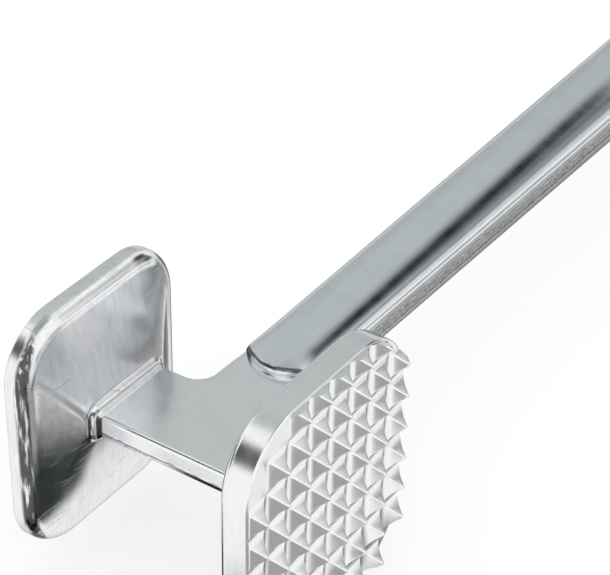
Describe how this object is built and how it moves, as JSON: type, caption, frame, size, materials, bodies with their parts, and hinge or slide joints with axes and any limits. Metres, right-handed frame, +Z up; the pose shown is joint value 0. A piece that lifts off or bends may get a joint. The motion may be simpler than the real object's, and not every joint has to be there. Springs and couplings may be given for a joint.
{
  "type": "meat mallet",
  "caption": "Hand mallet with a coarse and a fine toothed striking plate on a flat bridge, and a crowned grip ending in a flat tab with a hanging hole.",
  "frame": {"origin": "centre of the bounding box's bottom face, on the surface under the upright plates, with the mallet laid on its side", "axes": "+X along the head axis, out of the coarse face; +Y along the handle, away from the head; +Z up, square to the flat bridge"},
  "size_m": [0.0586, 0.235, 0.0536],
  "materials": {
    "bridge_metal": "bright as-cast, lightly polished",
    "plate_metal": "bright as-cast, lightly polished",
    "grip_metal": "polished along the grip"
  },
  "bodies": {
    "root": {"bridge_tang": "bridge_metal", "coarse_face_plate": "plate_metal", "fine_face_plate": "plate_metal", "upper_grip_shell": "grip_metal", "lower_grip_shell": "grip_metal"}
  },
  "joints": []
}
